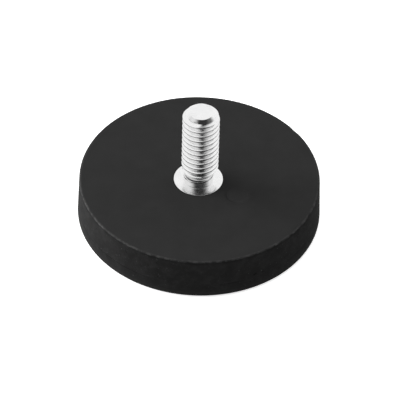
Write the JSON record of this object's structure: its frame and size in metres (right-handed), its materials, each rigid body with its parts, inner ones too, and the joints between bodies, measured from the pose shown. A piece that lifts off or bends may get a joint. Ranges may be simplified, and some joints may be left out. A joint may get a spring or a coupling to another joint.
{
  "type": "rubber-coated stud magnet",
  "caption": "Low round rubber-coated magnet for retrieval and mounting, with a threaded stud rising from a flush collar at its centre.",
  "frame": {"origin": "centre of the rubber contact face, at the bottom of the part", "axes": "+Z along the stud, away from the contact face. X and Y lie in the contact face, with the first magnet on +X"},
  "size_m": [0.0396, 0.0396, 0.0223],
  "materials": {
    "black_rubber": "satin moulded black rubber",
    "zinc_plated_steel": "bright zinc plate on turned steel",
    "bare_steel": "plain pressed steel",
    "nickel_plated_magnet": "satin nickel plate"
  },
  "bodies": {
    "root": {"rubber_jacket": "black_rubber", "threaded_stud": "zinc_plated_steel", "yoke_disc": "bare_steel", "magnet_1": "nickel_plated_magnet", "magnet_2": "nickel_plated_magnet", "magnet_3": "nickel_plated_magnet", "magnet_4": "nickel_plated_magnet", "magnet_5": "nickel_plated_magnet", "magnet_6": "nickel_plated_magnet", "magnet_7": "nickel_plated_magnet", "magnet_8": "nickel_plated_magnet"}
  },
  "joints": []
}
